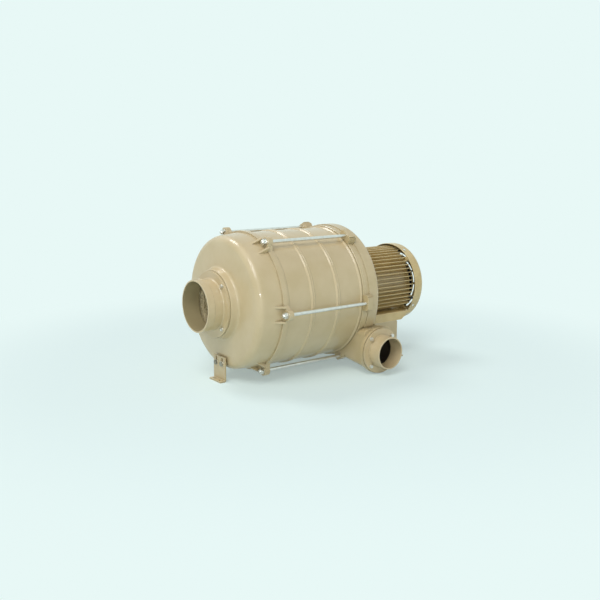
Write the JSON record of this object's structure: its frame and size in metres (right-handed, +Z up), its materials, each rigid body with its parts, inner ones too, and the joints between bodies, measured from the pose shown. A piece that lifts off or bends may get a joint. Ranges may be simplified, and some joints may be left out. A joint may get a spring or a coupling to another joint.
{
  "type": "multistage blower",
  "caption": "Multistage centrifugal blower: round staged casing held by tie rods, axial inlet collar, tangential outlet collar and a finned flange motor on feet.",
  "frame": {"origin": "centre of the inlet collar's mouth, on the shaft axis", "axes": "+X along the shaft from the inlet to the motor's fan cover, +Z up, outlet towards -Y"},
  "size_m": [0.808, 0.5133, 0.4496],
  "materials": {
    "casing_paint": "semi-gloss tan enamel over cast metal",
    "motor_paint": "semi-gloss olive tan enamel",
    "foot_paint": "semi-gloss tan enamel on folded sheet",
    "zinc": "bright zinc plating",
    "screen_wire": "dull woven wire",
    "gasket": "matt rubber sheet",
    "cast_aluminium": "as cast, fine grained",
    "machined_steel": "turned and ground",
    "laminations": "stacked lamination edges",
    "copper_winding": "varnished copper wire",
    "fan_plastic": "moulded plastic",
    "gland_plastic": "moulded plastic"
  },
  "bodies": {
    "casing": {"inlet_collar": "casing_paint", "inlet_gasket": "gasket", "inlet_screen": "screen_wire", "inlet_bolts": "zinc", "inlet_washers": "zinc", "front_cover": "casing_paint", "stage_ring_1": "casing_paint", "stage_ring_2": "casing_paint", "stage_ring_3": "casing_paint", "diaphragm_1": "cast_aluminium", "diaphragm_2": "cast_aluminium", "diaphragm_3": "cast_aluminium", "deflector_1": "cast_aluminium", "deflector_2": "cast_aluminium", "deflector_3": "cast_aluminium", "rear_casing": "casing_paint", "outlet_gasket": "gasket", "outlet_collar": "casing_paint", "outlet_bolts": "zinc", "outlet_washers": "zinc", "tie_rods": "zinc", "tie_rod_washers": "zinc", "tie_rod_nuts": "zinc", "motor_flange_bolts": "zinc", "drive_end_shield": "motor_paint", "drive_bearing_outer": "machined_steel", "motor_frame": "motor_paint", "stator_core": "laminations", "stator_windings": "copper_winding", "rear_end_shield": "motor_paint", "rear_bearing_outer": "machined_steel", "fan_cover": "motor_paint", "fan_cover_screws": "zinc", "terminal_box": "motor_paint", "terminal_lid": "motor_paint", "terminal_lid_screws": "zinc", "cable_gland": "gland_plastic", "front_foot": "foot_paint", "front_foot_washers": "zinc", "front_foot_bolts": "zinc", "pedestal": "foot_paint", "pedestal_bolts": "zinc"},
    "rotor": {"shaft": "machined_steel", "shaft_key": "machined_steel", "shaft_spacers": "machined_steel", "shaft_washer": "zinc", "shaft_nut": "zinc", "impeller_1": "cast_aluminium", "impeller_2": "cast_aluminium", "impeller_3": "cast_aluminium", "impeller_4": "cast_aluminium", "rotor_core": "laminations", "drive_bearing_inner": "machined_steel", "rear_bearing_inner": "machined_steel", "cooling_fan": "fan_plastic"}
  },
  "joints": [
    {"name": "rotor_spin", "type": "hinge", "parent": "casing", "child": "rotor", "pos_m": [0.3, 0, 0], "axis": [1, 0, 0], "continuous": true}
  ]
}
